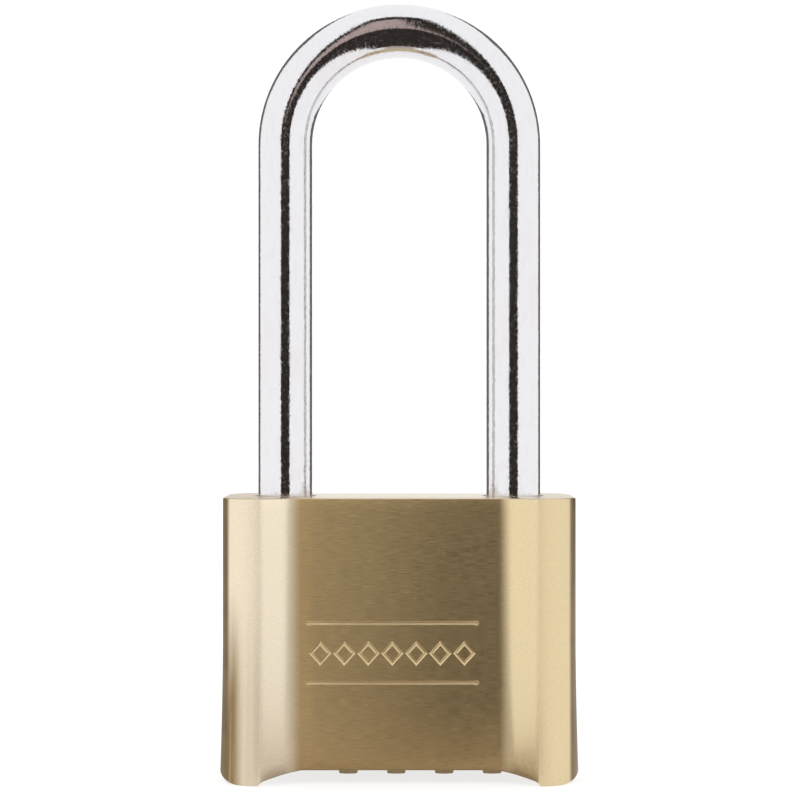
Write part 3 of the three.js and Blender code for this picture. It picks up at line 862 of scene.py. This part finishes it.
CAMERA_X = 0.0001
CAMERA_DISTANCE = 0.400
CAMERA_HEIGHT = 0.0547
VIEW_WIDTH = 0.1171  # width of the view at the padlock
SENSOR_WIDTH = 36  # millimetres, as the lens below

WHITE = 1.12  # brightness of the surroundings
FLOOR_GREY = (0.3, 0.3, 0.3)
FLOOR_GLOW = (0.76, 0.76, 0.76)

# What the cards glow with.
DARK = (0.030, 0.024, 0.020)
DARK_BACK = (0.15, 0.14, 0.135)
ROSY = (0.50, 0.40, 0.37)
PALE_ROSY = (0.50, 0.43, 0.38)
SHADOW_UNDER_BLOCK = (0.30, 0.26, 0.22)
BLACK = (0, 0, 0)

# Where the cards are. The dark gap in front widens with distance from the padlock.
GAP_SPREAD = math.tan(math.radians(18.5))
GAP_NEAR, GAP_FAR, GAP_TOP = 0.036, 0.66, 1.10
GAP_NEAR_HALF = 0.026
RIM_START = 0.0145
RIM_HALF = 0.017
UNDER_HALF = 0.019
BACK_INNER = (0.153, 0.474)
BACK_OUTER = (0.40, 0.335)
BACK_Z = (-0.4, 0.6)


def plain_material(name, colour, glow):
    """A matt material that also gives light of its own."""
    material = bpy.data.materials.new(name)
    material.use_nodes = True
    shader = material.node_tree.nodes["Principled BSDF"]
    shader.inputs["Base Color"].default_value = (*colour, 1)
    shader.inputs["Roughness"].default_value = 0.9
    shader.inputs["Specular IOR Level"].default_value = 0.1
    shader.inputs["Emission Color"].default_value = (*glow, 1)
    shader.inputs["Emission Strength"].default_value = 1.0
    material.cycles.emission_sampling = "NONE"
    return material


def make_floor():
    """A white sweep lit from within, like a light table: floor, round corner and back wall in one skin."""
    reach, back, height, radius, steps = 3.0, 1.6, 2.4, 0.6, 16
    profile = [(-reach, 0.0), (back - radius, 0.0)]
    for step in range(1, steps + 1):
        angle = step / steps * math.pi / 2
        profile.append((back - radius + radius * math.sin(angle), radius - radius * math.cos(angle)))
    profile.append((back, height))
    vertices = [(side * reach, y, z) for y, z in profile for side in (-1, 1)]
    faces = [(2 * i, 2 * i + 1, 2 * i + 3, 2 * i + 2) for i in range(len(profile) - 1)]
    floor = mesh_from("floor", vertices, faces)
    floor.data.materials.append(plain_material("white_sweep", FLOOR_GREY, FLOOR_GLOW))


def make_card(name, corners, colour):
    """A flat card that only reflections see."""
    card = mesh_from(name, corners, [(0, 1, 2, 3)])
    card.data.materials.append(plain_material(name + "_look", BLACK, colour))
    card.visible_camera = False
    card.visible_diffuse = False
    card.visible_shadow = False
    card.visible_transmission = False


def make_floor_card(name, front, back, colour):
    """A card lying just above the floor, between two edges given as (half width, y)."""
    just_up = 0.02 * MM
    corners = [(-front[0], front[1]), (front[0], front[1]), (back[0], back[1]), (-back[0], back[1])]
    make_card(name, [(x, y, just_up) for x, y in corners], colour)


def make_light():
    """An even white room, and the cards that darken it in reflections.

    A dark gap opens in front, with rosy light near the padlock and in the middle. A dark strip under the
    block is painted shadow: in reflections it stands in for the block's shadow on the glowing floor. Two dark
    panels stand behind.
    """
    world = bpy.data.worlds.new("studio")
    bpy.context.scene.world = world
    world.use_nodes = True
    sky = world.node_tree.nodes["Background"]
    sky.inputs["Color"].default_value = (1.0, 1.0, 1.0, 1)
    sky.inputs["Strength"].default_value = WHITE
    world.cycles.sampling_method = "NONE"

    half = GAP_FAR * GAP_SPREAD
    wall = [(-half, -GAP_FAR, 0), (half, -GAP_FAR, 0), (half, -GAP_FAR, GAP_TOP), (-half, -GAP_FAR, GAP_TOP)]
    make_card("dark_gap", wall, DARK)
    make_floor_card("dark_floor", (GAP_NEAR_HALF, -GAP_NEAR), (half, -GAP_FAR), DARK)
    make_floor_card("rosy_floor", (RIM_HALF, -RIM_START), (RIM_HALF, -GAP_NEAR), PALE_ROSY)
    # Painted shadow: this card stands in, in reflections only, for the block's shadow on the glowing floor.
    make_floor_card("shadow_under_block_card", (UNDER_HALF, RIM_START), (UNDER_HALF, -RIM_START), SHADOW_UNDER_BLOCK)

    # The patch's sides are given as slopes seen from the padlock.
    away = 0.5 * GAP_FAR
    left, right, low, high = -0.6 * GAP_SPREAD, 0.1 * GAP_SPREAD, 0.42, 1.28
    patch = [(left, low), (right, low), (right, high), (left, high)]
    make_card("rosy_patch", [(x * away, -away, z * away) for x, z in patch], ROSY)
    bottom, top = BACK_Z
    for side in (-1, 1):
        inner, outer = (BACK_INNER[0] * side, BACK_INNER[1]), (BACK_OUTER[0] * side, BACK_OUTER[1])
        panel = [(*inner, bottom), (*outer, bottom), (*outer, top), (*inner, top)]
        make_card("dark_back", panel, DARK_BACK)


def make_camera():
    data = bpy.data.cameras.new("camera")
    data.sensor_width = SENSOR_WIDTH
    data.lens = SENSOR_WIDTH * CAMERA_DISTANCE / VIEW_WIDTH
    camera = bpy.data.objects.new("camera", data)
    camera.location = (CAMERA_X, -CAMERA_DISTANCE, CAMERA_HEIGHT)
    camera.rotation_euler = (math.pi / 2, 0, 0)
    bpy.context.scene.collection.objects.link(camera)
    bpy.context.scene.camera = camera
    bpy.context.scene.view_settings.view_transform = "Standard"


make_camera()
make_floor()
make_light()
make_block()
make_shackle()
dial_brass = turned_brass("dial_brass")
digit_paint = filled_black()
for dial_index in range(len(DIAL_X)):
    make_dial(dial_index, dial_brass, digit_paint)
make_lockwork()
